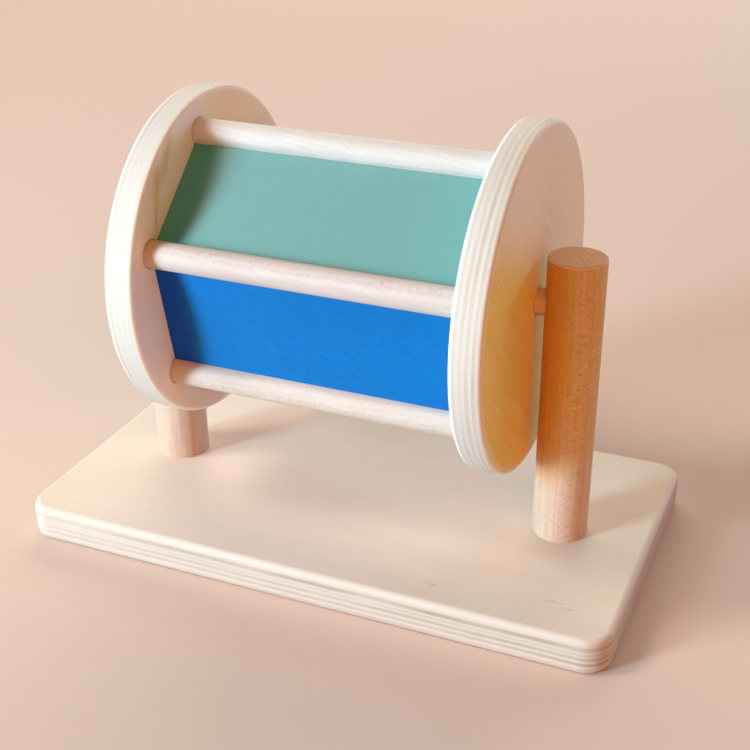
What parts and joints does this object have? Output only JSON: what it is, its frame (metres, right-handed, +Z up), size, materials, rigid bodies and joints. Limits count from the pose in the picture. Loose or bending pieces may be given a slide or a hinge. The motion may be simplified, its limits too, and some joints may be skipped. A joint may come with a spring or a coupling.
{
  "type": "spinning drum toy",
  "caption": "Wooden spinning drum for infants: rails and coloured panels between plywood discs, turning on pins between posts on a flat board.",
  "frame": {"origin": "middle of the base board's underside, which is the face it stands on", "axes": "+X along the drum's axle and the board's length, towards the right post; -Y towards the front; +Z up"},
  "size_m": [0.28, 0.153, 0.202],
  "materials": {
    "base_ply": "clear satin lacquer on birch-faced plywood",
    "disc_ply": "clear satin lacquer on birch-faced plywood",
    "post_beech": "clear satin lacquer on beech",
    "rail_beech": "sanded beech",
    "pin_beech": "sanded beech",
    "green_paint": "satin paint on wood",
    "blue_paint": "satin paint on wood",
    "purple_paint": "satin paint on wood",
    "red_paint": "satin paint on wood",
    "orange_paint": "satin paint on wood",
    "yellow_paint": "satin paint on wood",
    "screw_steel": "zinc plated"
  },
  "bodies": {
    "stand": {"base_board": "base_ply", "left_post": "post_beech", "right_post": "post_beech", "left_axle_pin": "pin_beech", "right_axle_pin": "pin_beech", "post_screws": "screw_steel"},
    "drum": {"left_disc": "disc_ply", "right_disc": "disc_ply", "rail_1": "rail_beech", "rail_2": "rail_beech", "rail_3": "rail_beech", "rail_4": "rail_beech", "rail_5": "rail_beech", "rail_6": "rail_beech", "green_panel": "green_paint", "blue_panel": "blue_paint", "purple_panel": "purple_paint", "red_panel": "red_paint", "orange_panel": "orange_paint", "yellow_panel": "yellow_paint"}
  },
  "joints": [
    {"name": "drum_spin", "type": "hinge", "parent": "stand", "child": "drum", "pos_m": [0, 0, 0.127], "axis": [1, 0, 0], "continuous": true}
  ]
}
